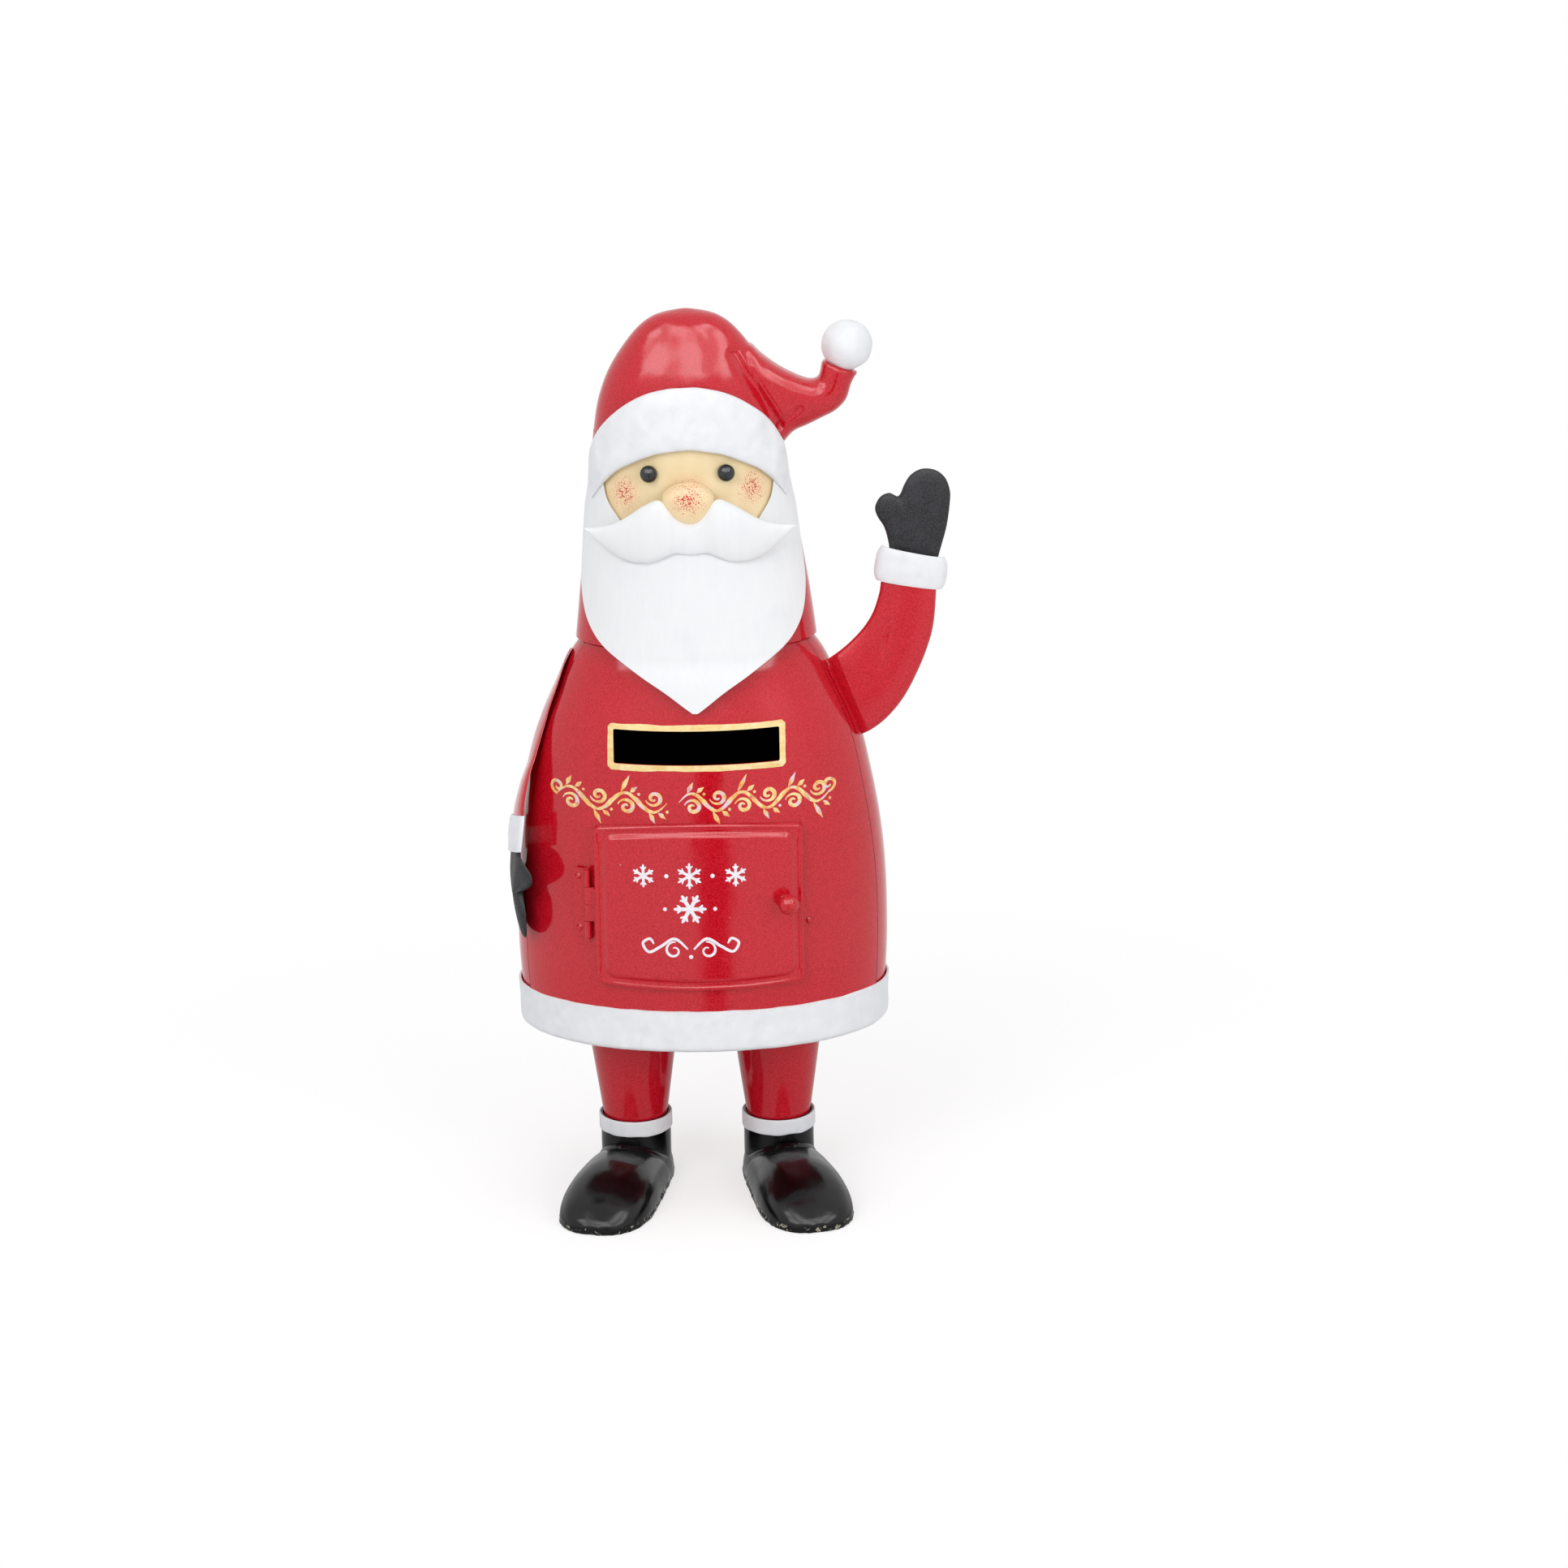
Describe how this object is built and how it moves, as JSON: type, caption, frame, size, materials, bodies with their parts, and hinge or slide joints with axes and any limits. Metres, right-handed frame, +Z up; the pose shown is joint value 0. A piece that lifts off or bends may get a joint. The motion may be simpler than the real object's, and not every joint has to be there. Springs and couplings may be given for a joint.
{
  "type": "money box",
  "caption": "Free-standing pressed-tin Father Christmas with a posting slot in the chest and a small hinged door in the belly; hollow body holds coins or notes.",
  "frame": {"origin": "on the floor at the middle of the figure's overall width and depth", "axes": "+Z up, +X towards the raised arm, +Y from the face to the back"},
  "size_m": [0.226, 0.1462, 0.458],
  "materials": {
    "red_enamel": "glossy red enamel with a fine orange-peel, small scuffs and bare specks at the edges",
    "white_enamel": "satin off-white enamel over hammered or combed sheet, brushed on by hand",
    "skin_enamel": "cream enamel with fine red stipple",
    "black_enamel": "satin black enamel, chipped along the sole's weld",
    "matt_black_paint": "matt charcoal paint",
    "eye_bead": "glossy black bead",
    "bare_steel": "zinc-plated steel",
    "ferrite": "sintered ferrite magnet"
  },
  "bodies": {
    "case": {"front_panel": "red_enamel", "back_panel": "red_enamel", "hem_band": "white_enamel", "base_plate": "red_enamel", "head_back": "red_enamel", "head_front": "red_enamel", "hat_front": "red_enamel", "hat_back": "red_enamel", "pompom": "white_enamel", "hat_brim": "white_enamel", "left_eye": "eye_bead", "right_eye": "eye_bead", "nose": "skin_enamel", "moustache": "white_enamel", "beard": "white_enamel", "raised_sleeve": "red_enamel", "raised_cuff": "white_enamel", "raised_mitten": "matt_black_paint", "lowered_sleeve": "red_enamel", "lowered_cuff": "white_enamel", "lowered_mitten": "matt_black_paint", "left_leg": "red_enamel", "right_leg": "red_enamel", "left_boot_shaft": "black_enamel", "right_boot_shaft": "black_enamel", "left_boot_band": "white_enamel", "right_boot_band": "white_enamel", "left_boot_upper": "black_enamel", "right_boot_upper": "black_enamel", "left_boot_sole": "black_enamel", "right_boot_sole": "black_enamel", "hinge_body_leaf": "red_enamel", "hinge_body_rivets": "red_enamel", "hinge_pin": "bare_steel", "catch_bracket": "bare_steel", "catch_magnet": "ferrite", "catch_rivet": "red_enamel"},
    "door": {"door_panel": "red_enamel", "hinge_door_leaf": "red_enamel", "door_knob": "red_enamel", "knob_screw": "bare_steel"}
  },
  "joints": [
    {"name": "door_hinge", "type": "hinge", "parent": "case", "child": "door", "pos_m": [-0.07149, -0.04111, 0.167], "axis": [0, 0, -1], "range_deg": [0, 135]}
  ]
}
